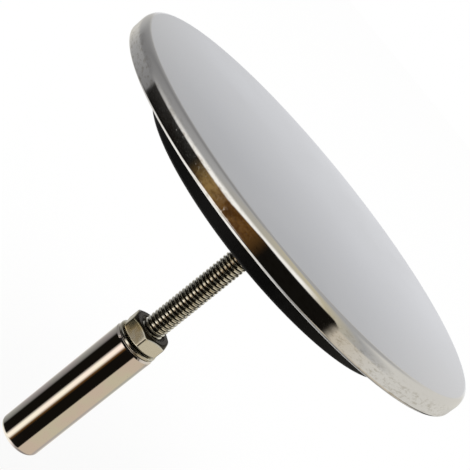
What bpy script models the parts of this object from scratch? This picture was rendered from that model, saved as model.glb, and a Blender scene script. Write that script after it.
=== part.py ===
"""Valve plug of a bathtub drain: cap, rubber seal, threaded stem and adjusting sleeve.

Metres, +Z up. The plug's axis is the Z axis. The origin is the middle of the flat
foot of the sleeve, which the lifting gear of the drain pushes on.
"""
import math

import bmesh
import bpy

# Cap
CAP_RADIUS = 0.0360
CAP_WEB_THICKNESS = 0.0023
CAP_RIM_HEIGHT = 0.0035
CAP_RIM_WIDTH = 0.0030
CAP_EDGE_WIDTH = 0.0009
CAP_EDGE_HEIGHT = 0.0015
CAP_LIP_RADIUS = 0.0005
CAP_BLIND_SKIN = 0.0012
BOSS_RADIUS = 0.0050
BOSS_CHAMFER = 0.0003

# Seal
SEAL_RADIUS = 0.0270
SEAL_THICKNESS = 0.0051
SEAL_EDGE_RADIUS = 0.0005
SEAL_SQUEEZE = 0.0003
SEAL_RECESS_DEPTH = 0.0015
SEAL_RECESS_CLEARANCE = 0.0006

# Washers and nuts
SEAL_WASHER_RADIUS = 0.0090
SEAL_WASHER_THICKNESS = 0.0010
LOCK_WASHER_RADIUS = 0.0039
LOCK_WASHER_THICKNESS = 0.0005
WASHER_CHAMFER = 0.0001
NUT_ACROSS_FLATS = 0.0070
NUT_HEIGHT = 0.0028
NUT_FACE_INSET = 0.0002
NUT_CHAMFER_ANGLE = math.radians(30)
LOCK_NUT_TURN = math.radians(8)
SEAL_NUT_TURN = math.radians(22)

# Screw thread, right-handed
THREAD_PITCH = 0.0007
THREAD_CREST_RADIUS = 0.00197
THREAD_ROOT_RADIUS = 0.00157
THREAD_CREST_FLAT = 0.00020
THREAD_CLEARANCE = 0.00013
COUNTERSINK_MARGIN = 0.0004
RELIEF_MARGIN = 0.0001
STEM_CHAMFER = 0.0004
STEM_BARE_LENGTH = 0.0220
STEM_ENGAGEMENT = 0.0138

# Sleeve
SLEEVE_RADIUS = 0.0040
SLEEVE_LENGTH = 0.0262
SLEEVE_RIM_CHAMFER = 0.0003
SLEEVE_FOOT_RADIUS = 0.0008
SLEEVE_FLOOR = 0.0022

# Clearances between pieces
SEAT_GAP = 0.0003
LOCK_GAP = 0.0002
WASHER_BORE_CLEARANCE = 0.0003

# Mesh making
TURNED_STEPS = 64
SMALL_TURNED_STEPS = 32
THREAD_STEPS = 14
ARC_STEPS = 4
RELIEF_PITCHES = 3
CUT_OVERRUN = 0.0010
MERGE_DISTANCE = 0.000004
SMOOTH_ANGLE = math.radians(35)

# Heights above the foot of the sleeve, from the lowest piece to the cap
LOCK_WASHER_BOTTOM = SLEEVE_LENGTH + LOCK_GAP
LOCK_NUT_BOTTOM = LOCK_WASHER_BOTTOM + LOCK_WASHER_THICKNESS + LOCK_GAP
SEAL_NUT_BOTTOM = LOCK_NUT_BOTTOM + NUT_HEIGHT + STEM_BARE_LENGTH
SEAL_WASHER_BOTTOM = SEAL_NUT_BOTTOM + NUT_HEIGHT + SEAT_GAP
SEAL_RECESS_FLOOR = SEAL_WASHER_BOTTOM + SEAL_WASHER_THICKNESS + SEAT_GAP
SEAL_BOTTOM = SEAL_RECESS_FLOOR - SEAL_RECESS_DEPTH
BOSS_BOTTOM = SEAL_RECESS_FLOOR + SEAL_SQUEEZE
WEB_BOTTOM = SEAL_BOTTOM + SEAL_THICKNESS + SEAT_GAP
CAP_TOP = WEB_BOTTOM + CAP_WEB_THICKNESS
BLIND_TOP = CAP_TOP - CAP_BLIND_SKIN
STEM_TOP = BLIND_TOP - SEAT_GAP
STEM_BOTTOM = SLEEVE_LENGTH - STEM_ENGAGEMENT

# Sizes that follow the thread
COUNTERSINK_RADIUS = THREAD_CREST_RADIUS + COUNTERSINK_MARGIN
COUNTERSINK_DEPTH = COUNTERSINK_RADIUS - THREAD_ROOT_RADIUS
WASHER_BORE_RADIUS = THREAD_CREST_RADIUS + WASHER_BORE_CLEARANCE
RELIEF_RADIUS = THREAD_CREST_RADIUS + THREAD_CLEARANCE + RELIEF_MARGIN
RELIEF_LENGTH = RELIEF_PITCHES * THREAD_PITCH


def clear_scene():
    """Start from an empty scene."""
    for thing in list(bpy.data.objects):
        bpy.data.objects.remove(thing, do_unlink=True)


def make_collection(name):
    collection = bpy.data.collections.new(name)
    bpy.context.scene.collection.children.link(collection)
    return collection


def make_material(name, colour, metallic, roughness):
    material = bpy.data.materials.new(name)
    material.use_nodes = True
    shader = material.node_tree.nodes["Principled BSDF"]
    shader.inputs["Base Color"].default_value = (*colour, 1.0)
    shader.inputs["Metallic"].default_value = metallic
    shader.inputs["Roughness"].default_value = roughness
    return material


def add_part(name, mesh, height, material, turn=0.0):
    """A named piece whose own origin lies on the plug's axis, at its lowest face."""
    mesh.materials.append(material)
    part = bpy.data.objects.new(name, mesh)
    part.location.z = height
    part.rotation_euler.z = turn
    parts.objects.link(part)
    return part


def cut(part, operation, mesh, height=0.0):
    """A Boolean modifier on a part, with a wire cutter that moves with it."""
    cutter = bpy.data.objects.new(mesh.name, mesh)
    cutter.location.z = height
    cutter.hide_render = True
    cutter.display_type = "WIRE"
    cutters.objects.link(cutter)
    carry(part, cutter)
    modifier = part.modifiers.new(mesh.name, "BOOLEAN")
    modifier.operation = operation
    modifier.object = cutter


def carry(carrier, thing):
    """Parents a thing without moving it."""
    bpy.context.view_layer.update()
    thing.parent = carrier
    thing.matrix_parent_inverse = carrier.matrix_world.inverted()


def screwed_mesh(name, points, steps, closed=False, turns=1, rise=0.0):
    """The surface that a profile of radii and heights sweeps round the Z axis."""
    profile = bpy.data.meshes.new(name)
    edges = [(i, i + 1) for i in range(len(points) - 1)]
    if closed:
        edges.append((len(points) - 1, 0))
    profile.from_pydata([(radius, 0.0, height) for radius, height in points], edges, [])
    maker = bpy.data.objects.new(name, profile)
    cutters.objects.link(maker)
    screw = maker.modifiers.new("Screw", "SCREW")
    screw.steps = screw.render_steps = steps
    screw.iterations = turns
    screw.screw_offset = rise
    screw.use_merge_vertices = True
    screw.merge_threshold = MERGE_DISTANCE
    bpy.context.view_layer.update()
    swept = maker.evaluated_get(bpy.context.evaluated_depsgraph_get())
    mesh = bpy.data.meshes.new_from_object(swept)
    bpy.data.objects.remove(maker, do_unlink=True)
    bpy.data.meshes.remove(profile)
    mesh.name = name
    return mesh


def finish_mesh(mesh, shape):
    """Writes a closed shape back to its mesh, smooth where it is round."""
    bmesh.ops.recalc_face_normals(shape, faces=shape.faces)
    shape.to_mesh(mesh)
    shape.free()
    mesh.shade_smooth()
    mesh.set_sharp_from_angle(angle=SMOOTH_ANGLE)
    return mesh


def turned_mesh(name, points, steps, closed=False):
    """A turned solid: an open profile from axis to axis, or the closed section of a ring."""
    mesh = screwed_mesh(name, points, steps, closed)
    shape = bmesh.new()
    shape.from_mesh(mesh)
    bmesh.ops.remove_doubles(shape, verts=shape.verts, dist=MERGE_DISTANCE)
    return finish_mesh(mesh, shape)


def threaded_mesh(name, bottom, top, clearance=0.0):
    """A threaded rod between two heights of the plug, short of each by less than two pitches.

    Every thread turns from a whole number of pitches above the origin, so that an
    internal thread, cut with a clearance, lies in step with the stem.
    """
    root = THREAD_ROOT_RADIUS + clearance
    crest = THREAD_CREST_RADIUS + clearance
    first = math.ceil(bottom / THREAD_PITCH)
    last = math.floor(top / THREAD_PITCH)
    start = first * THREAD_PITCH
    middle = start + THREAD_PITCH / 2
    points = [(root, start + THREAD_PITCH), (crest, middle + THREAD_CREST_FLAT / 2),
              (crest, middle - THREAD_CREST_FLAT / 2), (root, start)]
    mesh = screwed_mesh(name, points, THREAD_STEPS, turns=last - first - 1, rise=THREAD_PITCH)
    shape = bmesh.new()
    shape.from_mesh(mesh)
    bmesh.ops.remove_doubles(shape, verts=shape.verts, dist=MERGE_DISTANCE)
    rims = [edge for edge in shape.edges if edge.is_boundary]
    ends = bmesh.ops.holes_fill(shape, edges=rims, sides=0)
    bmesh.ops.poke(shape, faces=ends["faces"])
    return finish_mesh(mesh, shape)


def arc(centre, width, height, start, end):
    """Points on an ellipse, from one angle to another."""
    angles = [start + (end - start) * step / ARC_STEPS for step in range(ARC_STEPS + 1)]
    return [(centre[0] + width * math.cos(angle), centre[1] + height * math.sin(angle)) for angle in angles]


def countersink(height, side):
    """Profile points of a countersunk mouth, from the axis to the edge of its face."""
    floor = height - side * COUNTERSINK_DEPTH
    return [(0.0, floor), (THREAD_ROOT_RADIUS, floor), (COUNTERSINK_RADIUS, height)]


def cut_relief(part, bottom):
    """Turns a thread relief, wider than the thread, at the blind end of a tapped hole."""
    points = [(0.0, RELIEF_LENGTH), (RELIEF_RADIUS, RELIEF_LENGTH), (RELIEF_RADIUS, 0.0), (0.0, 0.0)]
    cut(part, "DIFFERENCE", turned_mesh(part.name + "_relief", points, SMALL_TURNED_STEPS), bottom)


def make_cap():
    """Turned cap: flat top, rolled edge, and a thick rim and a tapped boss below."""
    base = BOSS_BOTTOM
    top = CAP_TOP - base
    web = WEB_BOTTOM - base
    lip = top - CAP_RIM_HEIGHT
    rim_inner = CAP_RADIUS - CAP_RIM_WIDTH
    points = [(0.0, top)]
    points += arc((CAP_RADIUS - CAP_EDGE_WIDTH, top - CAP_EDGE_HEIGHT),
                  CAP_EDGE_WIDTH, CAP_EDGE_HEIGHT, math.pi / 2, 0.0)
    points += arc((CAP_RADIUS - CAP_LIP_RADIUS, lip + CAP_LIP_RADIUS),
                  CAP_LIP_RADIUS, CAP_LIP_RADIUS, 0.0, -math.pi / 2)
    points += [(rim_inner, lip), (rim_inner, web), (BOSS_RADIUS, web),
               (BOSS_RADIUS, BOSS_CHAMFER), (BOSS_RADIUS - BOSS_CHAMFER, 0.0)]
    points += reversed(countersink(0.0, -1.0))
    cap = add_part("cap_plate", turned_mesh("cap_plate", points, TURNED_STEPS), base, chromed_brass)
    cut_relief(cap, BLIND_TOP - RELIEF_LENGTH)
    cut(cap, "DIFFERENCE", threaded_mesh("cap_tap", base - RELIEF_LENGTH, BLIND_TOP, THREAD_CLEARANCE))
    return cap


def make_seal():
    """Moulded rubber ring round the boss, with a rounded lower edge and a recess for the washer."""
    hole = BOSS_RADIUS + SEAT_GAP
    recess = SEAL_WASHER_RADIUS + SEAL_RECESS_CLEARANCE
    section = [(hole, SEAL_THICKNESS), (SEAL_RADIUS, SEAL_THICKNESS)]
    section += arc((SEAL_RADIUS - SEAL_EDGE_RADIUS, SEAL_EDGE_RADIUS),
                   SEAL_EDGE_RADIUS, SEAL_EDGE_RADIUS, 0.0, -math.pi / 2)
    section += [(recess, 0.0), (recess, SEAL_RECESS_DEPTH), (hole, SEAL_RECESS_DEPTH)]
    mesh = turned_mesh("valve_seal", section, TURNED_STEPS, closed=True)
    return add_part("valve_seal", mesh, SEAL_BOTTOM, black_rubber)


def make_washer(name, radius, thickness, height):
    """Flat washer with broken outer edges."""
    flat = radius - WASHER_CHAMFER
    section = [(WASHER_BORE_RADIUS, thickness), (flat, thickness), (radius, thickness - WASHER_CHAMFER),
               (radius, WASHER_CHAMFER), (flat, 0.0), (WASHER_BORE_RADIUS, 0.0)]
    return add_part(name, turned_mesh(name, section, SMALL_TURNED_STEPS, closed=True), height, nickel_steel)


def make_nut(name, height, turn):
    """Hexagon nut: a prism, trimmed by a turned form with chamfers and countersinks, then tapped."""
    prism = bmesh.new()
    corner_radius = NUT_ACROSS_FLATS / 2 / math.cos(math.pi / 6)
    bmesh.ops.create_cone(prism, cap_ends=True, segments=6, radius1=corner_radius, radius2=corner_radius,
                          depth=NUT_HEIGHT + 2 * CUT_OVERRUN)
    bmesh.ops.translate(prism, vec=(0.0, 0.0, NUT_HEIGHT / 2), verts=prism.verts)
    mesh = bpy.data.meshes.new(name)
    prism.to_mesh(mesh)
    prism.free()
    nut = add_part(name, mesh, height, nickel_steel, turn)
    face = NUT_ACROSS_FLATS / 2 - NUT_FACE_INSET
    widest = face + NUT_HEIGHT / 2 / math.tan(NUT_CHAMFER_ANGLE)
    points = countersink(NUT_HEIGHT, 1.0) + [(face, NUT_HEIGHT), (widest, NUT_HEIGHT / 2), (face, 0.0)]
    points += reversed(countersink(0.0, -1.0))
    cut(nut, "INTERSECT", turned_mesh(name + "_form", points, SMALL_TURNED_STEPS), height)
    cut(nut, "DIFFERENCE", threaded_mesh(name + "_tap", height - RELIEF_LENGTH,
                                         height + NUT_HEIGHT + RELIEF_LENGTH, THREAD_CLEARANCE))
    return nut


def make_stem():
    """Stud that is threaded from end to end, with a chamfer on each end."""
    length = STEM_TOP - STEM_BOTTOM
    mesh = threaded_mesh("threaded_stem", STEM_BOTTOM - RELIEF_LENGTH, STEM_TOP + RELIEF_LENGTH)
    stem = add_part("threaded_stem", mesh, 0.0, nickel_steel)
    end = THREAD_CREST_RADIUS - STEM_CHAMFER
    wide = THREAD_CREST_RADIUS + CUT_OVERRUN
    slope = STEM_CHAMFER + CUT_OVERRUN
    points = [(0.0, length), (end, length), (wide, length - slope), (wide, slope), (end, 0.0), (0.0, 0.0)]
    cut(stem, "INTERSECT", turned_mesh("stem_form", points, SMALL_TURNED_STEPS), STEM_BOTTOM)
    return stem


def make_sleeve():
    """Turned sleeve, tapped from the top and closed at the foot."""
    points = countersink(SLEEVE_LENGTH, 1.0)
    points += [(SLEEVE_RADIUS - SLEEVE_RIM_CHAMFER, SLEEVE_LENGTH),
               (SLEEVE_RADIUS, SLEEVE_LENGTH - SLEEVE_RIM_CHAMFER)]
    points += arc((SLEEVE_RADIUS - SLEEVE_FOOT_RADIUS, SLEEVE_FOOT_RADIUS),
                  SLEEVE_FOOT_RADIUS, SLEEVE_FOOT_RADIUS, 0.0, -math.pi / 2)
    points.append((0.0, 0.0))
    mesh = turned_mesh("adjusting_sleeve", points, SMALL_TURNED_STEPS)
    sleeve = add_part("adjusting_sleeve", mesh, 0.0, polished_steel)
    cut_relief(sleeve, SLEEVE_FLOOR)
    cut(sleeve, "DIFFERENCE", threaded_mesh("sleeve_tap", SLEEVE_FLOOR, SLEEVE_LENGTH + RELIEF_LENGTH,
                                            THREAD_CLEARANCE))
    return sleeve


clear_scene()
parts = make_collection("bathtub_drain_valve")
cutters = make_collection("bathtub_drain_valve_cutters")

chromed_brass = make_material("chromed_brass", (0.62, 0.63, 0.65), 1.0, 0.18)
black_rubber = make_material("black_rubber", (0.012, 0.012, 0.013), 0.0, 0.55)
nickel_steel = make_material("nickel_plated_steel", (0.52, 0.50, 0.44), 1.0, 0.32)
polished_steel = make_material("polished_steel", (0.58, 0.57, 0.54), 1.0, 0.15)

cap_plate = make_cap()
valve_seal = make_seal()
seal_washer = make_washer("seal_washer", SEAL_WASHER_RADIUS, SEAL_WASHER_THICKNESS, SEAL_WASHER_BOTTOM)
seal_nut = make_nut("seal_nut", SEAL_NUT_BOTTOM, SEAL_NUT_TURN)
threaded_stem = make_stem()
lock_washer = make_washer("lock_washer", LOCK_WASHER_RADIUS, LOCK_WASHER_THICKNESS, LOCK_WASHER_BOTTOM)
lock_nut = make_nut("lock_nut", LOCK_NUT_BOTTOM, LOCK_NUT_TURN)
adjusting_sleeve = make_sleeve()

# The cap carries what is clamped to it, and the washer carries what is screwed along the stem
for piece in (valve_seal, seal_washer, seal_nut, threaded_stem, lock_washer):
    carry(cap_plate, piece)
for piece in (lock_nut, adjusting_sleeve):
    carry(lock_washer, piece)
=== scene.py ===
"""The valve plug of a bathtub drain, as photographed: cap, seal, stem and adjusting sleeve."""
import math

import bpy
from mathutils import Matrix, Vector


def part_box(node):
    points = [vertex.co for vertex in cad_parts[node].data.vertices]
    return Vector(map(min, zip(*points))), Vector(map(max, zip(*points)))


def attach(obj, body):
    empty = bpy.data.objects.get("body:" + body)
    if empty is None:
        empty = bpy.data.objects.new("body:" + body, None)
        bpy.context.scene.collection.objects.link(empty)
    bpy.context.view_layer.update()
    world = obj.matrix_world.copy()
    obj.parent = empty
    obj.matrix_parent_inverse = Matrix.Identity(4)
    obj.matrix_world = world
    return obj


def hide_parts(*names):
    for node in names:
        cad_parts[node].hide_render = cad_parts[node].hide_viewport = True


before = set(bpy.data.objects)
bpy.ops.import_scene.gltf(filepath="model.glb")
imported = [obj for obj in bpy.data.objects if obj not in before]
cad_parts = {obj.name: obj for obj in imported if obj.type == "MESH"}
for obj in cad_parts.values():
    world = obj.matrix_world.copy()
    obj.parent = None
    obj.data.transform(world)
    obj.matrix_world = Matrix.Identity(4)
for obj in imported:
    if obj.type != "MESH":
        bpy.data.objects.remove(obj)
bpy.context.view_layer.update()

# The camera stands in front of the plug and a little above its cap, turned so
# that the stem runs down to the left, at the photograph's distance.
CAMERA_PLACE = (0.0, -0.15730, 0.09173)
CAMERA_TURN = (66.933, -48.615, 18.916)
CAMERA_LENS = 82.89
CAMERA_SENSOR = 36.0
CAMERA_NEAREST = 0.01

bpy.ops.object.camera_add(location=CAMERA_PLACE,
                          rotation=[math.radians(angle) for angle in CAMERA_TURN])
camera = bpy.context.object
camera.data.lens = CAMERA_LENS
camera.data.sensor_width = CAMERA_SENSOR
camera.data.clip_start = CAMERA_NEAREST
bpy.context.scene.camera = camera
bpy.context.scene.view_settings.view_transform = "Standard"

# The floor is a plain sheet of pale card, just clear of the sleeve at its lowest. It is
# white to the camera, and it keeps a faint share of real card for the plug's shadow.
FLOOR_WIDTH = 4.0
FLOOR_LEVEL = -0.0090
FLOOR_COLOUR = "#FCFCFB"
FLOOR_SHADOW_SHARE = 0.20


def linear(colour):
    """The linear colour of an sRGB hex value."""
    shares = [int(colour[place:place + 2], 16) / 255 for place in (1, 3, 5)]
    return [share / 12.92 if share <= 0.04045 else ((share + 0.055) / 1.055) ** 2.4
            for share in shares] + [1.0]


def new_material(name):
    """A material with an empty node tree, and that tree."""
    material = bpy.data.materials.new(name)
    material.use_nodes = True
    material.node_tree.nodes.clear()
    return material, material.node_tree


def add_node(tree, kind, sockets=None, stops=None, **settings):
    """Adds a node: its settings, its ramp's stops, and what each socket holds or is linked to."""
    node = tree.nodes.new("ShaderNode" + kind)
    for name, value in settings.items():
        setattr(node, name, value)
    for place, (position, colour) in enumerate(stops or []):
        ramp = node.color_ramp.elements
        stop = ramp[place] if place < 2 else ramp.new(position)
        stop.position = position
        stop.color = linear(colour)
    for socket, value in (sockets or {}).items():
        if isinstance(value, bpy.types.NodeSocket):
            tree.links.new(value, node.inputs[socket])
        else:
            node.inputs[socket].default_value = value
    return node


bpy.ops.object.select_all(action="DESELECT")
bpy.ops.mesh.primitive_plane_add(size=FLOOR_WIDTH, location=(0.0, 0.0, FLOOR_LEVEL))
floor = bpy.context.object
floor.name = "floor"
floor.visible_glossy = False

pale_card, tree = new_material("pale_card")
rays = add_node(tree, "LightPath")
seen = add_node(tree, "Math", {0: rays.outputs["Is Camera Ray"], 1: rays.outputs["Is Glossy Ray"]},
                operation="MAXIMUM")
seen = add_node(tree, "Math", {0: seen.outputs[0], 1: rays.outputs["Is Transmission Ray"]},
                operation="MAXIMUM")
shown = add_node(tree, "Math", {0: seen.outputs[0], 1: 1.0 - FLOOR_SHADOW_SHARE},
                 operation="MULTIPLY")
card = add_node(tree, "BsdfDiffuse", {"Color": linear(FLOOR_COLOUR)})
white = add_node(tree, "Emission", {"Color": linear("#FFFFFF"), "Strength": 1.0})
mixed = add_node(tree, "MixShader", {0: shown.outputs[0], 1: card.outputs[0], 2: white.outputs[0]})
add_node(tree, "OutputMaterial", {"Surface": mixed.outputs[0]})
floor.data.materials.append(pale_card)

# The studio's light is a plain white surround and one soft lamp overhead. The
# surround is white to the camera and to metal, and a little lower as a light.
SURROUND_LEVEL = 0.96
LAMP_PLACE = (-0.5, -0.6, 1.4)
LAMP_SIZE = 1.2
LAMP_POWER = 3.0

world = bpy.data.worlds.new("studio")
bpy.context.scene.world = world
world.use_nodes = True
tree = world.node_tree
tree.nodes.clear()
rays = add_node(tree, "LightPath")
seen = add_node(tree, "Math", {0: rays.outputs["Is Camera Ray"], 1: rays.outputs["Is Glossy Ray"]},
                operation="MAXIMUM")
seen = add_node(tree, "Math", {0: seen.outputs[0], 1: rays.outputs["Is Transmission Ray"]},
                operation="MAXIMUM")
level = add_node(tree, "MapRange", {"Value": seen.outputs[0], "To Min": SURROUND_LEVEL,
                                    "To Max": 1.0})
light = add_node(tree, "Background", {"Color": linear("#FFFFFF"), "Strength": level.outputs[0]})
add_node(tree, "OutputWorld", {"Surface": light.outputs[0]})

bpy.ops.object.light_add(type="AREA", location=LAMP_PLACE)
lamp = bpy.context.object
lamp.data.size = LAMP_SIZE
lamp.data.energy = LAMP_POWER
lamp.visible_glossy = False
lamp.rotation_euler = (-lamp.location).to_track_quat("-Z", "Y").to_euler()

# A round tent stands about the plug, as one does for any chromed thing: pale cloth,
# black flags, brown and sand cards, a slit with a warm light, and a pale sheet below.
# It is seen only in what shines.
TENT_RADIUS = 3.0
TENT_STRENGTH = 1.2
TENT_STEPS = 48
WHITE_CLOTH = "#F5F2EB"
PALE_CLOTH = "#CBC8C0"
GREY_CLOTH = "#A09F9D"
SHADED_CLOTH = "#7A7978"
COOL_WHITE = "#E6E7EA"
COOL_GREY = "#98999C"
BLACK_FLAG = "#110F0C"
DARK_CLOTH = "#4A4947"
OCHRE_CARD = "#876C3E"
BROWN_CARD = "#60421F"
SAND_CARD = "#BFB5A3"
BUFF_CLOTH = "#B9B096"
WARM_LIGHT = "#FFF6EA"
# Each ring is hung by its turn in degrees from the camera, to the right. The skirt
# is the low ring, the wall is over it, then the band and the hood.
TENT_SKIRT = [(-180, WHITE_CLOTH), (-140, GREY_CLOTH), (-105, SHADED_CLOTH), (-93, BLACK_FLAG),
              (-46, BLACK_FLAG), (-34, WARM_LIGHT), (-22, WARM_LIGHT), (-11, BROWN_CARD),
              (-2, BLACK_FLAG), (44, BLACK_FLAG), (48, SAND_CARD), (120, SAND_CARD),
              (140, GREY_CLOTH), (160, PALE_CLOTH), (180, WHITE_CLOTH)]
TENT_WALL = [(-180, GREY_CLOTH), (-150, PALE_CLOTH), (-128, GREY_CLOTH), (-93, SHADED_CLOTH),
             (-91, BLACK_FLAG), (-46, BLACK_FLAG), (-33, OCHRE_CARD), (-22, BROWN_CARD),
             (-8, BROWN_CARD), (4, BLACK_FLAG), (47, BLACK_FLAG), (52, SAND_CARD),
             (80, PALE_CLOTH), (140, PALE_CLOTH), (180, GREY_CLOTH)]
TENT_BAND = [(-180, PALE_CLOTH), (-140, GREY_CLOTH), (-128, SHADED_CLOTH), (-98, SHADED_CLOTH),
             (-48, WHITE_CLOTH), (24, WHITE_CLOTH), (40, BUFF_CLOTH), (66, GREY_CLOTH),
             (88, PALE_CLOTH), (180, PALE_CLOTH)]
TENT_HOOD = [(-180, GREY_CLOTH), (-112, SHADED_CLOTH), (-40, GREY_CLOTH), (38, BUFF_CLOTH),
             (70, GREY_CLOTH), (180, GREY_CLOTH)]
# What is hung over only a part of the round is shared out from none of it to all of it
NONE_OF_IT = "#000000"
ALL_OF_IT = "#FFFFFF"
# Where the wall's upper edge rises, over the black flag, and by how much
TENT_BRIM = [(-23, NONE_OF_IT), (0, ALL_OF_IT), (46, ALL_OF_IT), (51, NONE_OF_IT)]
TENT_BRIM_RISE = 0.34
# Where a strip of dark cloth hangs behind the plug, over the skirt, and how high its foot is
TENT_STRIP = [(98, NONE_OF_IT), (114, ALL_OF_IT), (164, ALL_OF_IT), (178, NONE_OF_IT)]
TENT_STRIP_FOOT = (-0.385, -0.36)
# Heights between which one gives way to the next, as the sine of the angle above the
# plug: the sheet to the skirt, the skirt to the wall, the wall to the band, and the band
# to the hood, whose foot leans
TENT_GROUND = (-0.80, -0.50)
TENT_FOOT = (-0.285, -0.26)
TENT_EDGE = (-0.225, -0.10)
TENT_TOP = (0.25, 0.58)
TENT_TOP_LEAN = -0.4
# The skirt leans, by degrees of turn for its height, about the height where it hangs true
TENT_SKIRT_LEAN = 60.0
TENT_SKIRT_HEIGHT = -0.41
# The sheet on the ground runs from side to side. A cloth behind the plug runs from its
# foot up, with a lean, and gives way to the band between two depths, -1 straight behind.
TENT_SHEET = [(0.47, WHITE_CLOTH), (0.64, GREY_CLOTH), (0.8, SHADED_CLOTH)]
TENT_BACK = [(0.14, COOL_WHITE), (0.26, COOL_GREY)]
TENT_BACK_LEAN = -0.05
TENT_REAR = (-0.97, -0.90)

bpy.ops.mesh.primitive_uv_sphere_add(radius=TENT_RADIUS, segments=TENT_STEPS,
                                     ring_count=TENT_STEPS // 2)
tent = bpy.context.object
tent.name = "tent"
tent.visible_camera = False
tent.visible_diffuse = False
tent.visible_shadow = False

tent_cloth, tree = new_material("tent_cloth")
place = add_node(tree, "TexCoord")
way = add_node(tree, "VectorMath", {0: place.outputs["Object"]}, operation="NORMALIZE")
way = add_node(tree, "SeparateXYZ", {0: way.outputs[0]})
height = way.outputs["Z"]
# The turn round the plug runs from 0 to 1, with the camera's side at the middle
ahead = add_node(tree, "Math", {0: way.outputs["Y"], 1: -1.0}, operation="MULTIPLY")
turn = add_node(tree, "Math", {0: way.outputs["X"], 1: ahead.outputs[0]}, operation="ARCTAN2")
turn = add_node(tree, "Math", {0: turn.outputs[0], 1: 1 / math.tau, 2: 0.5},
                operation="MULTIPLY_ADD")
lean = add_node(tree, "Math", {0: height, 1: -TENT_SKIRT_LEAN / 360,
                               2: TENT_SKIRT_LEAN * TENT_SKIRT_HEIGHT / 360},
                operation="MULTIPLY_ADD")
lean = add_node(tree, "Math", {0: turn.outputs[0], 1: lean.outputs[0]}, operation="ADD")
lean = add_node(tree, "Math", {0: lean.outputs[0]}, operation="FRACT")
skirt, wall, band, hood, brim, strip = [
    add_node(tree, "ValToRGB", {"Fac": ring.outputs[0]},
             stops=[(0.5 + angle / 360, colour) for angle, colour in stops])
    for ring, stops in ((lean, TENT_SKIRT), (turn, TENT_WALL), (turn, TENT_BAND), (turn, TENT_HOOD),
                        (turn, TENT_BRIM), (turn, TENT_STRIP))]
# The strip hangs over the skirt
share = add_node(tree, "MapRange", {"Value": height, "From Min": TENT_STRIP_FOOT[0],
                                    "From Max": TENT_STRIP_FOOT[1], "To Max": strip.outputs[0]})
skirt = add_node(tree, "Mix", {0: share.outputs[0], 6: skirt.outputs[0], 7: linear(DARK_CLOTH)},
                 data_type="RGBA")
# The cloth behind the plug, and the sheet on the ground
lean = add_node(tree, "Math", {0: way.outputs["X"], 1: TENT_BACK_LEAN, 2: height},
                operation="MULTIPLY_ADD")
back = add_node(tree, "ValToRGB", {"Fac": lean.outputs[0]}, stops=TENT_BACK)
across = add_node(tree, "Math", {0: way.outputs["X"], 1: 0.5, 2: 0.5}, operation="MULTIPLY_ADD")
sheet = add_node(tree, "ValToRGB", {"Fac": across.outputs[0]}, stops=TENT_SHEET)
# Put together: the cloth behind with the band, the hood over them, the wall over the
# skirt, the upper ones over the lower ones, and the sheet below them all
share = add_node(tree, "MapRange", {"Value": ahead.outputs[0], "From Min": TENT_REAR[0],
                                    "From Max": TENT_REAR[1]}, interpolation_type="SMOOTHSTEP")
band = add_node(tree, "Mix", {0: share.outputs[0], 6: back.outputs[0], 7: band.outputs[0]},
                data_type="RGBA")
lean = add_node(tree, "Math", {0: way.outputs["X"], 1: TENT_TOP_LEAN, 2: height},
                operation="MULTIPLY_ADD")
share = add_node(tree, "MapRange", {"Value": lean.outputs[0], "From Min": TENT_TOP[0],
                                    "From Max": TENT_TOP[1]}, interpolation_type="SMOOTHSTEP")
upper = add_node(tree, "Mix", {0: share.outputs[0], 6: band.outputs[2], 7: hood.outputs[0]},
                 data_type="RGBA")
share = add_node(tree, "MapRange", {"Value": height, "From Min": TENT_FOOT[0],
                                    "From Max": TENT_FOOT[1]})
lower = add_node(tree, "Mix", {0: share.outputs[0], 6: skirt.outputs[2], 7: wall.outputs[0]},
                 data_type="RGBA")
rise = add_node(tree, "Math", {0: brim.outputs[0], 1: -TENT_BRIM_RISE, 2: height},
                operation="MULTIPLY_ADD")
share = add_node(tree, "MapRange", {"Value": rise.outputs[0], "From Min": TENT_EDGE[0],
                                    "From Max": TENT_EDGE[1]}, interpolation_type="SMOOTHSTEP")
cloth = add_node(tree, "Mix", {0: share.outputs[0], 6: lower.outputs[2], 7: upper.outputs[2]},
                 data_type="RGBA")
share = add_node(tree, "MapRange", {"Value": height, "From Min": TENT_GROUND[0],
                                    "From Max": TENT_GROUND[1]}, interpolation_type="SMOOTHSTEP")
cloth = add_node(tree, "Mix", {0: share.outputs[0], 6: sheet.outputs[0], 7: cloth.outputs[2]},
                 data_type="RGBA")
glow = add_node(tree, "Emission", {"Color": cloth.outputs[2], "Strength": TENT_STRENGTH})
add_node(tree, "OutputMaterial", {"Surface": glow.outputs[0]})
tent.data.materials.append(tent_cloth)

# The cap is turned from brass, with a rolled edge, a thick rim and a tapped boss
# below, and chromed. Its wall is polished, and its top keeps the fine grain of the
# satin wheel under the chrome.
CAP_RADIUS = 0.0360
CAP_WEB = 0.0023
CAP_RIM_HEIGHT = 0.0035
CAP_RIM_WIDTH = 0.0030
CAP_EDGE_WIDTH = 0.0009
CAP_EDGE_HEIGHT = 0.0015
CAP_LIP_RADIUS = 0.0005
CAP_STEPS = 256
BOSS_RADIUS = 0.0050
BOSS_CHAMFER = 0.0003
BORE_RADIUS = 0.0021
BORE_TOP_SKIN = 0.0012
# A rounding's steps, how near its end a flat gets a holding edge, how near two points
# are welded, and the angle up to which two faces are shaded as one
ROUND_STEPS = 10
HOLDING_EDGE = 0.00006
WELD_DISTANCE = 0.000002
ROUND_ANGLE = math.radians(35)


def rounding(centre, across, up, first, last):
    """Points of a rounded edge, as radii and heights, from one angle to another."""
    angles = [math.radians(first + (last - first) * step / ROUND_STEPS)
              for step in range(ROUND_STEPS + 1)]
    return [(centre[0] + across * math.cos(angle), centre[1] + up * math.sin(angle))
            for angle in angles]


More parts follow.
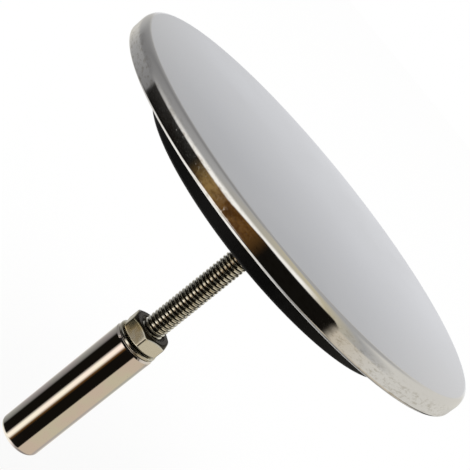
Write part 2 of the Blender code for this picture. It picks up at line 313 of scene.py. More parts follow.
def draw_outline(name, outline, lift=0.0):
    """Starts a piece as a line through radii and heights, and leaves it in edit mode."""
    bpy.ops.object.select_all(action="DESELECT")
    bpy.ops.mesh.primitive_plane_add(size=HOLDING_EDGE)
    piece = bpy.context.object
    piece.name = name
    piece.data.name = name
    bpy.ops.object.mode_set(mode="EDIT")
    bpy.ops.mesh.merge(type="CENTER")
    bpy.ops.transform.translate(value=(outline[0][0], 0.0, outline[0][1] + lift))
    for start, end in zip(outline, outline[1:]):
        bpy.ops.mesh.extrude_region_move(
            TRANSFORM_OT_translate={"value": (end[0] - start[0], 0.0, end[1] - start[1])})
    return piece


def turn_piece(name, outline, steps):
    """Draws an outline of radii and heights and spins it round the plug's axis.

    A holding edge near each end of a flat keeps the shading of the roundings off the flat.
    """
    points = [outline[0]]
    for start, end in zip(outline, outline[1:]):
        length = math.dist(start, end)
        if length > 4 * HOLDING_EDGE:
            step = HOLDING_EDGE / length
            points += [(start[0] + (end[0] - start[0]) * share,
                        start[1] + (end[1] - start[1]) * share) for share in (step, 1 - step)]
        points.append(end)
    piece = draw_outline(name, points)
    bpy.ops.mesh.select_all(action="SELECT")
    bpy.ops.mesh.spin(steps=steps, angle=math.tau, center=(0.0, 0.0, 0.0), axis=(0.0, 0.0, 1.0))
    bpy.ops.mesh.select_all(action="SELECT")
    bpy.ops.mesh.remove_doubles(threshold=WELD_DISTANCE)
    bpy.ops.mesh.normals_make_consistent(inside=False)
    bpy.ops.object.mode_set(mode="OBJECT")
    bpy.ops.object.shade_smooth_by_angle(angle=ROUND_ANGLE)
    return piece


cap_low, cap_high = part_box("cap_plate")
cap_foot, cap_top = cap_low[2], cap_high[2]
cap_lip = cap_top - CAP_RIM_HEIGHT
cap_web = cap_top - CAP_WEB
cap_rim = CAP_RADIUS - CAP_RIM_WIDTH
outline = [(0.0, cap_top)]
outline += rounding((CAP_RADIUS - CAP_EDGE_WIDTH, cap_top - CAP_EDGE_HEIGHT),
                    CAP_EDGE_WIDTH, CAP_EDGE_HEIGHT, 90, 0)
outline += rounding((CAP_RADIUS - CAP_LIP_RADIUS, cap_lip + CAP_LIP_RADIUS),
                    CAP_LIP_RADIUS, CAP_LIP_RADIUS, 0, -90)
outline += [(cap_rim, cap_lip), (cap_rim, cap_web), (BOSS_RADIUS, cap_web),
            (BOSS_RADIUS, cap_foot + BOSS_CHAMFER), (BOSS_RADIUS - BOSS_CHAMFER, cap_foot),
            (BORE_RADIUS, cap_foot), (BORE_RADIUS, cap_top - BORE_TOP_SKIN),
            (0.0, cap_top - BORE_TOP_SKIN)]
cap = turn_piece("cap", outline, CAP_STEPS)

# Chrome plate on brass: a cool, nearly white metal. The wheel leaves a satin grain
# on the flat and a mirror on the wall, where fine scuffs and specks show. The first of
# two roughnesses is the clean metal's. A fade gives the two levels of a pattern between
# which its mark comes in.
CHROME_COLOUR = "#E7E7E8"
CHROME_WORN_COLOUR = "#A39C8B"
CHROME_POLISH = (0.06, 0.10)
CHROME_SATIN = (0.13, 0.18)
CHROME_SATIN_EDGE = CAP_EDGE_HEIGHT / 3
CHROME_CLOUD = 0.014
CHROME_CLOUD_FADE = (0.3, 0.7)
# The wheel's scratches are about 0.05 mm apart, too fine to show, so they are drawn coarser
CHROME_GRAIN = 0.0004
CHROME_GRAIN_DEPTH = 0.0000012
CHROME_SPECK = 0.0006
CHROME_SPECK_STRETCH = (0.5, 0.5, 1.3)
CHROME_SPECK_FADE = (0.49, 0.68)
CHROME_SPECK_SHARE = 0.55
# A brown patch with small pits lies on the wall, round one place near the front, and
# ends at the wall's two roundings, with a margin. The pits are bumps, and the brown is
# painted reflection, of the brown that the wall mirrors there.
CHROME_PAINTED_REFLECTION_COLOUR = "#7E5F38"
CHROME_PAINTED_REFLECTION = 0.0016
CHROME_PAINTED_REFLECTION_FADE = (0.46, 0.62)
CHROME_REFLECTION_AND_PITS_SHARE = 0.6
CHROME_REFLECTION_AND_PITS_PLACE = (-0.0105, -0.0345, 0.0600)
CHROME_REFLECTION_AND_PITS_REACH = 0.0135
CHROME_REFLECTION_AND_PITS_MARGIN = 0.2
CHROME_PATCH = 0.009
CHROME_PATCH_FADE = (0.48, 0.62)
CHROME_PIT = 0.00055
CHROME_PIT_FADE = (0.60, 0.75)
CHROME_PIT_DEPTH = 0.000008

chrome_plate, tree = new_material("chrome_plate")
place = add_node(tree, "TexCoord")
parts = add_node(tree, "SeparateXYZ", {0: place.outputs["Object"]})
flat = add_node(tree, "MapRange", {"Value": parts.outputs["Z"],
                                   "From Min": cap_top - CHROME_SATIN_EDGE,
                                   "From Max": cap_top - HOLDING_EDGE},
                interpolation_type="SMOOTHSTEP")
cloud = add_node(tree, "TexNoise", {"Vector": place.outputs["Object"], "Scale": 1 / CHROME_CLOUD,
                                    "Detail": 3.0})
speck = add_node(tree, "VectorMath", {0: place.outputs["Object"], 1: CHROME_SPECK_STRETCH},
                 operation="MULTIPLY")
speck = add_node(tree, "TexNoise", {"Vector": speck.outputs[0], "Scale": 1 / CHROME_SPECK,
                                    "Detail": 4.0, "Roughness": 0.7})
worn = add_node(tree, "MapRange", {"Value": parts.outputs["Z"],
                                   "From Min": cap_top - CAP_EDGE_HEIGHT,
                                   "From Max": cap_top - CHROME_SATIN_EDGE,
                                   "To Min": CHROME_SPECK_SHARE, "To Max": 0.0})
speck = add_node(tree, "MapRange", {"Value": speck.outputs["Fac"],
                                    "From Min": CHROME_SPECK_FADE[0],
                                    "From Max": CHROME_SPECK_FADE[1], "To Max": worn.outputs[0]})
satin = add_node(tree, "MapRange", {"Value": cloud.outputs["Fac"],
                                    "From Min": CHROME_CLOUD_FADE[0],
                                    "From Max": CHROME_CLOUD_FADE[1],
                                    "To Min": CHROME_SATIN[0], "To Max": CHROME_SATIN[1]})
polish = add_node(tree, "MapRange", {"Value": speck.outputs[0], "To Min": CHROME_POLISH[0],
                                     "To Max": CHROME_POLISH[1]})
gloss = add_node(tree, "Mix", {0: flat.outputs[0], 2: polish.outputs[0], 3: satin.outputs[0]})
tint = add_node(tree, "Mix", {0: speck.outputs[0], 6: linear(CHROME_COLOUR),
                              7: linear(CHROME_WORN_COLOUR)}, data_type="RGBA")
wall_inside, wall_outside = 1 - CHROME_REFLECTION_AND_PITS_MARGIN, 1 + CHROME_REFLECTION_AND_PITS_MARGIN
wall = add_node(tree, "MapRange", {"Value": parts.outputs["Z"],
                                   "From Min": cap_top - CAP_EDGE_HEIGHT,
                                   "From Max": cap_top - CAP_EDGE_HEIGHT * wall_inside,
                                   "To Min": CHROME_REFLECTION_AND_PITS_SHARE, "To Max": 0.0})
wall = add_node(tree, "MapRange", {"Value": parts.outputs["Z"],
                                   "From Min": cap_lip + CAP_LIP_RADIUS * wall_inside,
                                   "From Max": cap_lip + CAP_LIP_RADIUS * wall_outside,
                                   "To Max": wall.outputs[0]})
stain = add_node(tree, "TexNoise", {"Vector": place.outputs["Object"], "Scale": 1 / CHROME_PAINTED_REFLECTION,
                                    "Detail": 5.0, "Roughness": 0.7})
side = add_node(tree, "VectorMath", {0: place.outputs["Object"], 1: CHROME_REFLECTION_AND_PITS_PLACE},
                operation="DISTANCE")
side = add_node(tree, "MapRange", {"Value": side.outputs["Value"], "From Min": CHROME_REFLECTION_AND_PITS_REACH,
                                   "From Max": CHROME_REFLECTION_AND_PITS_REACH / 2, "To Max": wall.outputs[0]})
stain = add_node(tree, "MapRange", {"Value": stain.outputs["Fac"],
                                    "From Min": CHROME_PAINTED_REFLECTION_FADE[0],
                                    "From Max": CHROME_PAINTED_REFLECTION_FADE[1], "To Max": side.outputs[0]})
patch = add_node(tree, "TexNoise", {"Vector": place.outputs["Object"], "Scale": 1 / CHROME_PATCH,
                                    "Detail": 2.0})
patch = add_node(tree, "MapRange", {"Value": patch.outputs["Fac"],
                                    "From Min": CHROME_PATCH_FADE[0],
                                    "From Max": CHROME_PATCH_FADE[1], "To Max": side.outputs[0]})
# Painted reflection: the patch's brown goes into the wall's colour
tint = add_node(tree, "Mix", {0: stain.outputs[0], 6: tint.outputs[2],
                              7: linear(CHROME_PAINTED_REFLECTION_COLOUR)}, data_type="RGBA")
grain = add_node(tree, "TexNoise", {"Vector": place.outputs["Object"], "Scale": 1 / CHROME_GRAIN,
                                    "Detail": 3.0})
grain = add_node(tree, "Bump", {"Height": grain.outputs["Fac"], "Distance": CHROME_GRAIN_DEPTH})
pit = add_node(tree, "TexNoise", {"Vector": place.outputs["Object"], "Scale": 1 / CHROME_PIT,
                                  "Detail": 3.0, "Roughness": 0.6})
pit = add_node(tree, "MapRange", {"Value": pit.outputs["Fac"], "From Min": CHROME_PIT_FADE[0],
                                  "From Max": CHROME_PIT_FADE[1], "To Max": patch.outputs[0]})
grain = add_node(tree, "Bump", {"Height": pit.outputs[0], "Distance": CHROME_PIT_DEPTH,
                                "Normal": grain.outputs[0]})
metal = add_node(tree, "BsdfPrincipled", {"Base Color": tint.outputs[2], "Metallic": 1.0,
                                          "Roughness": gloss.outputs[0],
                                          "Normal": grain.outputs[0]})
add_node(tree, "OutputMaterial", {"Surface": metal.outputs[0]})
cap.data.materials.append(chrome_plate)
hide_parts("cap_plate")
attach(cap, "plug_head")

# The seal is a ring moulded from black rubber, pushed over the cap's boss. Its lower
# edge is rounded to sit on the outlet, and a recess takes the washer.
SEAL_RADIUS = 0.0270
SEAL_HOLE = 0.0053
SEAL_EDGE_RADIUS = 0.0005
SEAL_RECESS_RADIUS = 0.0096
SEAL_RECESS_DEPTH = 0.0015
SEAL_STEPS = 192

seal_low, seal_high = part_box("valve_seal")
outline = [(SEAL_HOLE, seal_high[2]), (SEAL_RADIUS, seal_high[2])]
outline += rounding((SEAL_RADIUS - SEAL_EDGE_RADIUS, seal_low[2] + SEAL_EDGE_RADIUS),
                    SEAL_EDGE_RADIUS, SEAL_EDGE_RADIUS, 0, -90)
seal_recess = seal_low[2] + SEAL_RECESS_DEPTH
outline += [(SEAL_RECESS_RADIUS, seal_low[2]), (SEAL_RECESS_RADIUS, seal_recess),
            (SEAL_HOLE, seal_recess), (SEAL_HOLE, seal_high[2])]
seal = turn_piece("seal", outline, SEAL_STEPS)

# Black nitrile rubber, moulded: deep black with a soft sheen, a fine eggshell from
# the mould, and a little pale dust. It is rougher where the dust lies.
RUBBER_COLOUR = "#050506"
RUBBER_DUST_COLOUR = "#0D0D0E"
RUBBER_ROUGHNESS = (0.45, 0.65)
RUBBER_SHEEN = 0.16
RUBBER_DUST = 0.004
RUBBER_DUST_FADE = (0.5, 0.75)
# The mould's eggshell is about 0.1 mm wide, too fine to show, so it is drawn coarser
RUBBER_GRAIN = 0.0003
RUBBER_GRAIN_DEPTH = 0.00002

nitrile_rubber, tree = new_material("moulded_nitrile_rubber")
place = add_node(tree, "TexCoord")
dust = add_node(tree, "TexNoise", {"Vector": place.outputs["Object"], "Scale": 1 / RUBBER_DUST,
                                   "Detail": 6.0, "Roughness": 0.7})
dust = add_node(tree, "MapRange", {"Value": dust.outputs["Fac"], "From Min": RUBBER_DUST_FADE[0],
                                   "From Max": RUBBER_DUST_FADE[1]})
tint = add_node(tree, "Mix", {0: dust.outputs[0], 6: linear(RUBBER_COLOUR),
                              7: linear(RUBBER_DUST_COLOUR)}, data_type="RGBA")
gloss = add_node(tree, "MapRange", {"Value": dust.outputs[0], "To Min": RUBBER_ROUGHNESS[0],
                                    "To Max": RUBBER_ROUGHNESS[1]})
grain = add_node(tree, "TexNoise", {"Vector": place.outputs["Object"], "Scale": 1 / RUBBER_GRAIN,
                                    "Detail": 2.0})
grain = add_node(tree, "Bump", {"Height": grain.outputs["Fac"], "Distance": RUBBER_GRAIN_DEPTH})
rubber = add_node(tree, "BsdfPrincipled", {"Base Color": tint.outputs[2],
                                           "Roughness": gloss.outputs[0],
                                           "Specular IOR Level": RUBBER_SHEEN,
                                           "Normal": grain.outputs[0]})
add_node(tree, "OutputMaterial", {"Surface": rubber.outputs[0]})
seal.data.materials.append(nitrile_rubber)
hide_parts("valve_seal")
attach(seal, "plug_head")

# The clamping washer is stamped from steel and nickel plated. It lies in the seal's
# recess and spreads the nut's load on the rubber.
CLAMP_WASHER_RADIUS = 0.0090
WASHER_BORE_RADIUS = 0.00227
WASHER_CHAMFER = 0.0001
WASHER_STEPS = 128


def turn_washer(name, node, radius):
    """A flat washer with its outer edges chamfered, as thick as its node."""
    low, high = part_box(node)
    edge = radius - WASHER_CHAMFER
    outline = [(WASHER_BORE_RADIUS, high[2]), (edge, high[2]), (radius, high[2] - WASHER_CHAMFER),
               (radius, low[2] + WASHER_CHAMFER), (edge, low[2]), (WASHER_BORE_RADIUS, low[2]),
               (WASHER_BORE_RADIUS, high[2])]
    return turn_piece(name, outline, WASHER_STEPS)


clamp_washer = turn_washer("clamp_washer", "seal_washer", CLAMP_WASHER_RADIUS)

# Nickel plate on steel: warmer and yellower than chrome. It is bright on the flats,
# and dull and brown where water has stood.
NICKEL_COLOUR = "#E7E5DA"
NICKEL_STAIN_COLOUR = "#B3A687"
NICKEL_ROUGHNESS = (0.16, 0.36)
NICKEL_STAIN = 0.0022
NICKEL_STAIN_FADE = (0.45, 0.75)
# The plated steel's grain is about 0.05 mm wide, too fine to show, so it is drawn coarser
NICKEL_GRAIN = 0.00025
NICKEL_GRAIN_DEPTH = 0.0000015

nickel_plate, tree = new_material("nickel_plated_steel")
place = add_node(tree, "TexCoord")
stain = add_node(tree, "TexNoise", {"Vector": place.outputs["Object"], "Scale": 1 / NICKEL_STAIN,
                                    "Detail": 4.0, "Roughness": 0.6})
stain = add_node(tree, "MapRange", {"Value": stain.outputs["Fac"],
                                    "From Min": NICKEL_STAIN_FADE[0],
                                    "From Max": NICKEL_STAIN_FADE[1]})
tint = add_node(tree, "Mix", {0: stain.outputs[0], 6: linear(NICKEL_COLOUR),
                              7: linear(NICKEL_STAIN_COLOUR)}, data_type="RGBA")
gloss = add_node(tree, "MapRange", {"Value": stain.outputs[0], "To Min": NICKEL_ROUGHNESS[0],
                                    "To Max": NICKEL_ROUGHNESS[1]})
grain = add_node(tree, "TexNoise", {"Vector": place.outputs["Object"], "Scale": 1 / NICKEL_GRAIN,
                                    "Detail": 3.0})
grain = add_node(tree, "Bump", {"Height": grain.outputs["Fac"], "Distance": NICKEL_GRAIN_DEPTH})
metal = add_node(tree, "BsdfPrincipled", {"Base Color": tint.outputs[2], "Metallic": 1.0,
                                          "Roughness": gloss.outputs[0],
                                          "Normal": grain.outputs[0]})
add_node(tree, "OutputMaterial", {"Surface": metal.outputs[0]})
clamp_washer.data.materials.append(nickel_plate)
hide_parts("seal_washer")
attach(clamp_washer, "plug_head")

# The clamping nut is a hexagon nut of nickel plated steel, cold formed and tapped M4.
# It holds the washer and the seal against the cap's boss.
NUT_ACROSS_FLATS = 0.0070
NUT_FACE_INSET = 0.0002
NUT_CHAMFER_ANGLE = math.radians(30)
NUT_CORNER_RADIUS = 0.00024
NUT_CORNER_STEPS = 4
NUT_EDGE_RADIUS = 0.00014
NUT_EDGE_ANGLE = math.radians(25)
NUT_EDGE_STEPS = 3
FORM_STEPS = 128
CLAMP_NUT_TURN = math.radians(22)
COUNTERSINK_RADIUS = 0.00237
PITCH = 0.0007
CREST_RADIUS = 0.00197
ROOT_RADIUS = 0.00157
CREST_HALF = 0.00010
ROOT_HALF = 0.00004
THREAD_ROUNDING = 0.00003
THREAD_CLEARANCE = 0.00013
THREAD_OVERRUN = 3 * PITCH
THREAD_STEPS = 48


def thread_rod(name, bottom, top, clearance):
    """A right-handed threaded rod, screwed up from one turn's outline in step with the origin."""
    first = math.ceil(bottom / PITCH)
    turns = math.floor(top / PITCH) - first - 1
    root = ROOT_RADIUS + clearance
    crest = CREST_RADIUS + clearance
    middle = PITCH / 2
    outline = [(root, 0.0), (root, ROOT_HALF),
               (crest - THREAD_ROUNDING, middle - CREST_HALF - THREAD_ROUNDING),
               (crest, middle - CREST_HALF), (crest, middle + CREST_HALF),
               (crest - THREAD_ROUNDING, middle + CREST_HALF + THREAD_ROUNDING),
               (root, PITCH - ROOT_HALF), (root, PITCH)]
    rod = draw_outline(name, outline, lift=first * PITCH)
    bpy.ops.object.mode_set(mode="OBJECT")
    screw = rod.modifiers.new("Screw", "SCREW")
    screw.steps = screw.render_steps = THREAD_STEPS
    screw.iterations = turns
    screw.screw_offset = PITCH
    screw.use_merge_vertices = True
    screw.merge_threshold = WELD_DISTANCE
    bpy.ops.object.modifier_apply(modifier=screw.name)
    bpy.ops.object.mode_set(mode="EDIT")
    bpy.ops.mesh.select_all(action="SELECT")
    bpy.ops.mesh.remove_doubles(threshold=WELD_DISTANCE)
    bpy.ops.mesh.fill_holes(sides=0)
    bpy.ops.mesh.select_all(action="DESELECT")
    bpy.ops.mesh.select_face_by_sides(number=4, type="GREATER")
    bpy.ops.mesh.poke()
    bpy.ops.mesh.select_all(action="SELECT")
    bpy.ops.mesh.normals_make_consistent(inside=False)
    bpy.ops.object.mode_set(mode="OBJECT")
    return rod


def shape_with(piece, tool, operation):
    """Cuts a piece with a tool, or trims it to a form, and cleans the cut's edges."""
    bpy.ops.object.select_all(action="DESELECT")
    piece.select_set(True)
    bpy.context.view_layer.objects.active = piece
    shaping = piece.modifiers.new(tool.name, "BOOLEAN")
    shaping.operation = operation
    shaping.solver = "EXACT"
    shaping.object = tool
    bpy.ops.object.modifier_apply(modifier=shaping.name)
    bpy.data.objects.remove(tool, do_unlink=True)
    bpy.ops.object.mode_set(mode="EDIT")
    bpy.ops.mesh.select_all(action="SELECT")
    bpy.ops.mesh.remove_doubles(threshold=WELD_DISTANCE)
    bpy.ops.mesh.dissolve_degenerate(threshold=WELD_DISTANCE)
    bpy.ops.object.mode_set(mode="OBJECT")
    bpy.ops.object.shade_smooth_by_angle(angle=ROUND_ANGLE)


# Nickel plate on a cold formed nut: satin flats that turn yellower and darker towards one
# side. The faces that look up and the tapped bore are painted nearly black, as painted
# shade, and made rougher.
NUT_SIDE_TONE = [(0.4, NICKEL_COLOUR), (0.75, "#CFBD92"), (1.0, "#918C75")]
NUT_ROUGHNESS = (0.26, 0.34)
NUT_GRAIN_DEPTH = 0.0000006
# The painted shade's colour, how far past the countersink's rim it reaches, and the upward facing
# over which it comes in
NUT_SHADE_COLOUR = "#3A342B"
NUT_SHADE_EDGE = 0.00006
NUT_SHADE_FACING = (0.55, 0.80)
# The length of a place without its height is its distance from the stem's axis
NO_HEIGHT = (1.0, 1.0, 0.0)

plated_nut, tree = new_material("nickel_plated_nut_steel")
place = add_node(tree, "TexCoord")
parts = add_node(tree, "SeparateXYZ", {0: place.outputs["Object"]})
across = add_node(tree, "VectorMath", {0: place.outputs["Object"], 1: NO_HEIGHT},
                  operation="MULTIPLY")
across = add_node(tree, "VectorMath", {0: across.outputs[0]}, operation="LENGTH")
inner = add_node(tree, "MapRange", {"Value": across.outputs["Value"],
                                    "From Min": COUNTERSINK_RADIUS,
                                    "From Max": COUNTERSINK_RADIUS + NUT_SHADE_EDGE,
                                    "To Min": 1.0, "To Max": 0.0})
facing = add_node(tree, "SeparateXYZ", {0: place.outputs["Normal"]})
ends = add_node(tree, "MapRange", {"Value": facing.outputs["Z"], "From Min": NUT_SHADE_FACING[0],
                                   "From Max": NUT_SHADE_FACING[1]})
painted_shade = add_node(tree, "Math", {0: inner.outputs[0], 1: ends.outputs[0]}, operation="MAXIMUM")
stain = add_node(tree, "TexNoise", {"Vector": place.outputs["Object"], "Scale": 1 / NICKEL_STAIN,
                                    "Detail": 4.0, "Roughness": 0.6})
# The flats' tone runs yellower and darker towards -X, broken up by a noise
stain = add_node(tree, "Math", {0: parts.outputs["X"], 1: -1 / NUT_ACROSS_FLATS,
                                2: stain.outputs["Fac"]}, operation="MULTIPLY_ADD")
tint = add_node(tree, "ValToRGB", {"Fac": stain.outputs[0]}, stops=NUT_SIDE_TONE)
# Painted shade: the bore and the faces that look up go nearly black
tint = add_node(tree, "Mix", {0: painted_shade.outputs[0], 6: tint.outputs[0], 7: linear(NUT_SHADE_COLOUR)},
                data_type="RGBA")
gloss = add_node(tree, "MapRange", {"Value": painted_shade.outputs[0], "To Min": NUT_ROUGHNESS[0],
                                    "To Max": NUT_ROUGHNESS[1]})
grain = add_node(tree, "TexNoise", {"Vector": place.outputs["Object"], "Scale": 1 / NICKEL_GRAIN,
                                    "Detail": 3.0})
grain = add_node(tree, "Bump", {"Height": grain.outputs["Fac"], "Distance": NUT_GRAIN_DEPTH})
metal = add_node(tree, "BsdfPrincipled", {"Base Color": tint.outputs[2], "Metallic": 1.0,
                                          "Roughness": gloss.outputs[0],
                                          "Normal": grain.outputs[0]})
add_node(tree, "OutputMaterial", {"Surface": metal.outputs[0]})


def make_nut(name, node, turn):
    """A hexagon bar with soft corners, trimmed to a chamfered, countersunk form and tapped."""
    low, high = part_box(node)
    height = high[2] - low[2]
    middle = (low[2] + high[2]) / 2
    bpy.ops.object.select_all(action="DESELECT")
    bpy.ops.mesh.primitive_cylinder_add(vertices=6, depth=2 * height,
                                        radius=NUT_ACROSS_FLATS / 2 / math.cos(math.pi / 6),
                                        location=(0.0, 0.0, middle))
    nut = bpy.context.object
    nut.name = name
    nut.data.name = name
    bpy.ops.object.transform_apply(location=True, rotation=False, scale=False)
    bpy.ops.object.mode_set(mode="EDIT")
    bpy.ops.mesh.select_all(action="SELECT")
    bpy.ops.transform.rotate(value=-turn, orient_axis="Z", center_override=(0.0, 0.0, 0.0))
    bpy.ops.mesh.select_mode(type="EDGE")
    bpy.ops.mesh.select_all(action="DESELECT")
    bpy.ops.object.mode_set(mode="OBJECT")
    for edge in nut.data.edges:
        lower, upper = (nut.data.vertices[corner].co for corner in edge.vertices)
        edge.select = abs(lower.z - upper.z) > height
    bpy.ops.object.mode_set(mode="EDIT")
    bpy.ops.mesh.bevel(offset=NUT_CORNER_RADIUS, segments=NUT_CORNER_STEPS)
    bpy.ops.mesh.select_mode(type="VERT")
    bpy.ops.object.mode_set(mode="OBJECT")
    face = NUT_ACROSS_FLATS / 2 - NUT_FACE_INSET
    widest = face + height / 2 / math.tan(NUT_CHAMFER_ANGLE)
    sink = COUNTERSINK_RADIUS - ROOT_RADIUS
    outline = [(0.0, high[2] - sink), (ROOT_RADIUS, high[2] - sink), (COUNTERSINK_RADIUS, high[2]),
               (face, high[2]), (widest, middle), (face, low[2]), (COUNTERSINK_RADIUS, low[2]),
               (ROOT_RADIUS, low[2] + sink), (0.0, low[2] + sink)]
    shape_with(nut, turn_piece(name + "_form", outline, FORM_STEPS), "INTERSECT")
    softening = nut.modifiers.new("soft_edges", "BEVEL")
    softening.width = NUT_EDGE_RADIUS
    softening.segments = NUT_EDGE_STEPS
    softening.limit_method = "ANGLE"
    softening.angle_limit = NUT_EDGE_ANGLE
    softening.use_clamp_overlap = False
    bpy.ops.object.modifier_apply(modifier=softening.name)
    tap = thread_rod(name + "_tap", low[2] - THREAD_OVERRUN, high[2] + THREAD_OVERRUN,
                     THREAD_CLEARANCE)
    shape_with(nut, tap, "DIFFERENCE")
    nut.data.materials.clear()
    nut.data.materials.append(plated_nut)
    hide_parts(node)
    return nut


clamp_nut = make_nut("clamp_nut", "seal_nut", CLAMP_NUT_TURN)
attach(clamp_nut, "plug_head")

# The stem is a steel stud with an M4 thread rolled from end to end, nickel plated.
# It is screwed into the cap's boss and locked there by the clamping nut.
STEM_CHAMFER = 0.0004
STEM_FORM_RADIUS = 0.0030

stem_low, stem_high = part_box("threaded_stem")
stem = thread_rod("stem", stem_low[2] - THREAD_OVERRUN, stem_high[2] + THREAD_OVERRUN, 0.0)
tip = CREST_RADIUS - STEM_CHAMFER
slope = STEM_FORM_RADIUS - tip
outline = [(0.0, stem_high[2]), (tip, stem_high[2]), (STEM_FORM_RADIUS, stem_high[2] - slope),
           (STEM_FORM_RADIUS, stem_low[2] + slope), (tip, stem_low[2]), (0.0, stem_low[2])]
shape_with(stem, turn_piece("stem_form", outline, FORM_STEPS), "INTERSECT")

# Nickel plate on a rolled thread: the crests show the bright plate, and the roots, up to a
# radius, are painted nearly black as shade in the grooves, and made rough.
STEM_ROOT_SHADE_COLOUR = "#2C251C"
STEM_ROOT_REACH = (0.00166, 0.00182)
STEM_ROOT_ROUGHNESS = 0.45
STEM_CREST_ROUGHNESS = 0.13
STEM_WEAR = 0.0011
STEM_WEAR_FADE = (0.5, 0.75)

plated_thread, tree = new_material("nickel_plated_thread")
place = add_node(tree, "TexCoord")
across = add_node(tree, "VectorMath", {0: place.outputs["Object"], 1: NO_HEIGHT},
                  operation="MULTIPLY")
across = add_node(tree, "VectorMath", {0: across.outputs[0]}, operation="LENGTH")
crest = add_node(tree, "MapRange", {"Value": across.outputs["Value"],
                                    "From Min": STEM_ROOT_REACH[0],
                                    "From Max": STEM_ROOT_REACH[1]},
                 interpolation_type="SMOOTHSTEP")
wear = add_node(tree, "TexNoise", {"Vector": place.outputs["Object"], "Scale": 1 / STEM_WEAR,
                                   "Detail": 4.0, "Roughness": 0.6})
wear = add_node(tree, "MapRange", {"Value": wear.outputs["Fac"], "From Min": STEM_WEAR_FADE[0],
                                   "From Max": STEM_WEAR_FADE[1]})
tint = add_node(tree, "Mix", {0: wear.outputs[0], 6: linear(NICKEL_COLOUR),
                              7: linear(NICKEL_STAIN_COLOUR)}, data_type="RGBA")
# Painted shade: the roots go nearly black
tint = add_node(tree, "Mix", {0: crest.outputs[0], 6: linear(STEM_ROOT_SHADE_COLOUR), 7: tint.outputs[2]},
                data_type="RGBA")
gloss = add_node(tree, "MapRange", {"Value": crest.outputs[0], "To Min": STEM_ROOT_ROUGHNESS,
                                    "To Max": STEM_CREST_ROUGHNESS})
grain = add_node(tree, "TexNoise", {"Vector": place.outputs["Object"], "Scale": 1 / NICKEL_GRAIN,
                                    "Detail": 3.0})
grain = add_node(tree, "Bump", {"Height": grain.outputs["Fac"], "Distance": NICKEL_GRAIN_DEPTH})
metal = add_node(tree, "BsdfPrincipled", {"Base Color": tint.outputs[2], "Metallic": 1.0,
                                          "Roughness": gloss.outputs[0],
                                          "Normal": grain.outputs[0]})
add_node(tree, "OutputMaterial", {"Surface": metal.outputs[0]})
stem.data.materials.clear()
stem.data.materials.append(plated_thread)
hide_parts("threaded_stem")
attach(stem, "plug_head")

# The locking washer is thin plated steel, pinched between the nut and the sleeve.
# Its edge shows as a bright line.
LOCK_WASHER_RADIUS = 0.0039

lock_washer = turn_washer("thin_washer", "lock_washer", LOCK_WASHER_RADIUS)
lock_washer.data.materials.append(nickel_plate)
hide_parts("lock_washer")
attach(lock_washer, "washer_carriage")

# The locking nut is a second nut of the same kind and make. Tightened against the
# washer and the sleeve, it keeps the set height.
LOCK_NUT_TURN = math.radians(8)

locking_nut = make_nut("locking_nut", "lock_nut", LOCK_NUT_TURN)
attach(locking_nut, "nut_body")

# The adjusting sleeve is turned from brass bar, tapped from the top and closed at the
# foot, polished and nickel plated. The drain's lifting gear pushes on its foot.
SLEEVE_RADIUS = 0.0040
SLEEVE_RIM_CHAMFER = 0.0003
SLEEVE_FOOT_RADIUS = 0.0008
SLEEVE_BORE_RADIUS = 0.0021
SLEEVE_FLOOR = 0.0022
SLEEVE_STEPS = 192

sleeve_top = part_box("adjusting_sleeve")[1][2]
outline = [(0.0, SLEEVE_FLOOR), (SLEEVE_BORE_RADIUS, SLEEVE_FLOOR),
           (SLEEVE_BORE_RADIUS, sleeve_top - COUNTERSINK_RADIUS + SLEEVE_BORE_RADIUS),
           (COUNTERSINK_RADIUS, sleeve_top), (SLEEVE_RADIUS - SLEEVE_RIM_CHAMFER, sleeve_top),
           (SLEEVE_RADIUS, sleeve_top - SLEEVE_RIM_CHAMFER)]
outline += rounding((SLEEVE_RADIUS - SLEEVE_FOOT_RADIUS, SLEEVE_FOOT_RADIUS),
                    SLEEVE_FOOT_RADIUS, SLEEVE_FOOT_RADIUS, 0, -90)
outline.append((0.0, 0.0))
sleeve = turn_piece("sleeve", outline, SLEEVE_STEPS)

# Polished nickel plate on brass: a warm mirror, with a faint bloom, small dull specks
# of use, and the faint rings left by the lathe.
SLEEVE_COLOUR = "#E7E5DA"
SLEEVE_BLOOM_COLOUR = "#EADFDB"
SLEEVE_BLOOM = 0.005
SLEEVE_BLOOM_FADE = (0.42, 0.58)
SLEEVE_SPECK_COLOUR = "#A09478"
SLEEVE_SPECK = 0.0006
SLEEVE_SPECK_FADE = (0.74, 0.80)
SLEEVE_POLISH = (0.05, 0.30)
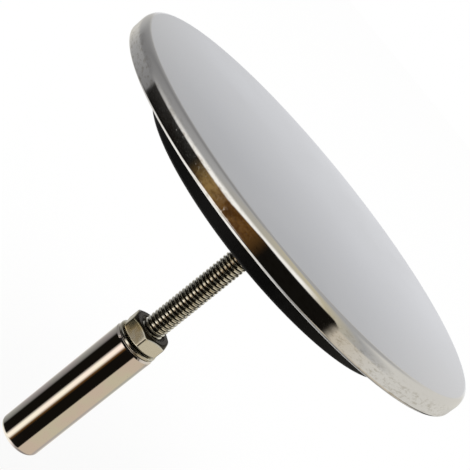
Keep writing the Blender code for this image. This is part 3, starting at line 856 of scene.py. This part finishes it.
# The lathe's feed is about 0.1 mm a turn, too fine to show, so the rings are drawn coarser
SLEEVE_RING = 0.0006
SLEEVE_RING_DEPTH = 0.0000004

polished_nickel, tree = new_material("polished_nickel_plate")
place = add_node(tree, "TexCoord")
speck = add_node(tree, "TexNoise", {"Vector": place.outputs["Object"], "Scale": 1 / SLEEVE_SPECK,
                                    "Detail": 2.0, "Roughness": 0.7})
speck = add_node(tree, "MapRange", {"Value": speck.outputs["Fac"],
                                    "From Min": SLEEVE_SPECK_FADE[0],
                                    "From Max": SLEEVE_SPECK_FADE[1]})
bloom = add_node(tree, "TexNoise", {"Vector": place.outputs["Object"], "Scale": 1 / SLEEVE_BLOOM,
                                    "Detail": 4.0})
bloom = add_node(tree, "MapRange", {"Value": bloom.outputs["Fac"],
                                    "From Min": SLEEVE_BLOOM_FADE[0],
                                    "From Max": SLEEVE_BLOOM_FADE[1]})
tint = add_node(tree, "Mix", {0: bloom.outputs[0], 6: linear(SLEEVE_COLOUR),
                              7: linear(SLEEVE_BLOOM_COLOUR)}, data_type="RGBA")
tint = add_node(tree, "Mix", {0: speck.outputs[0], 6: tint.outputs[2],
                              7: linear(SLEEVE_SPECK_COLOUR)}, data_type="RGBA")
gloss = add_node(tree, "MapRange", {"Value": speck.outputs[0], "To Min": SLEEVE_POLISH[0],
                                    "To Max": SLEEVE_POLISH[1]})
parts = add_node(tree, "SeparateXYZ", {0: place.outputs["Object"]})
ring = add_node(tree, "Math", {0: parts.outputs["Z"], 1: 1 / SLEEVE_RING}, operation="MULTIPLY")
ring = add_node(tree, "TexNoise", {"W": ring.outputs[0], "Scale": 1.0, "Detail": 3.0},
                noise_dimensions="1D")
ring = add_node(tree, "Bump", {"Height": ring.outputs["Fac"], "Distance": SLEEVE_RING_DEPTH})
metal = add_node(tree, "BsdfPrincipled", {"Base Color": tint.outputs[2], "Metallic": 1.0,
                                          "Roughness": gloss.outputs[0],
                                          "Normal": ring.outputs[0]})
add_node(tree, "OutputMaterial", {"Surface": metal.outputs[0]})
sleeve.data.materials.append(polished_nickel)
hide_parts("adjusting_sleeve")
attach(sleeve, "sleeve_body")
